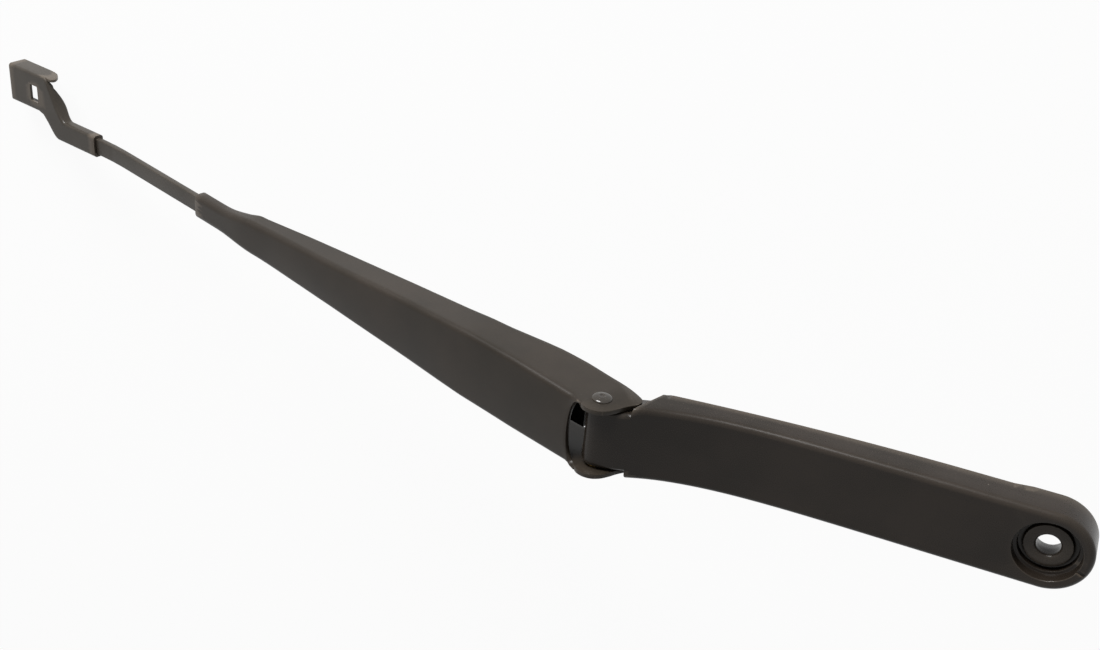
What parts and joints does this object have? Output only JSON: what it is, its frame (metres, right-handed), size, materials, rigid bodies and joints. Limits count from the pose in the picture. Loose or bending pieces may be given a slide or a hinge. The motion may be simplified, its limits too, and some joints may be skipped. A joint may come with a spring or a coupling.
{
  "type": "windscreen wiper arm",
  "caption": "Windscreen wiper arm: cast head for a tapered spindle, sprung hinge, pressed channel, flat bar and a side-set push-button blade plate.",
  "frame": {"origin": "on the spindle axis, where the bore's straight wall meets its taper", "axes": "+X along the head towards the blade, +Z out of the glass along the spindle, +Y across the arm, away from the side the blade plate is set off to; stored folded on its stop, as in use"},
  "size_m": [0.5639, 0.0425, 0.1468],
  "materials": {
    "cast_coat": "satin black powder coat over a die casting",
    "sheet_coat": "satin black coat over pressed steel",
    "bush_brass": "plain turned",
    "pin_steel": "drawn bright",
    "spring_steel": "zinc plated, dull"
  },
  "bodies": {
    "head": {"arm_head": "cast_coat", "hinge_bush": "bush_brass", "link_pin": "pin_steel"},
    "arm": {"arm_channel": "sheet_coat", "hinge_rivet": "sheet_coat", "blade_bar": "sheet_coat", "tip_adapter": "sheet_coat"},
    "link": {"spring_link": "pin_steel"},
    "spring": {"tension_spring": "spring_steel"}
  },
  "joints": [
    {"name": "arm_hinge", "type": "hinge", "parent": "head", "child": "arm", "pos_m": [0.1643, 0, 0.0171], "axis": [0, -1, 0], "range_deg": [0, 80], "stiffness_Nm_per_rad": 0.9, "springref_deg": -171.89, "deforming": ["tension_spring"]},
    {"name": "link_swing", "type": "hinge", "parent": "head", "child": "link", "pos_m": [0.15849, 0, 0.01089], "axis": [0, -1, 0], "range_deg": [0, 74.5]},
    {"name": "spring_swing", "type": "hinge", "parent": "arm", "child": "spring", "pos_m": [0.25034, 0, -0.0155], "axis": [0, -1, 0], "range_deg": [-5.9, 0]}
  ],
  "couplings": [
    {"joint": "link_swing", "follows": "arm_hinge", "ratio": 0.92804},
    {"joint": "spring_swing", "follows": "arm_hinge", "ratio": -0.07196}
  ]
}
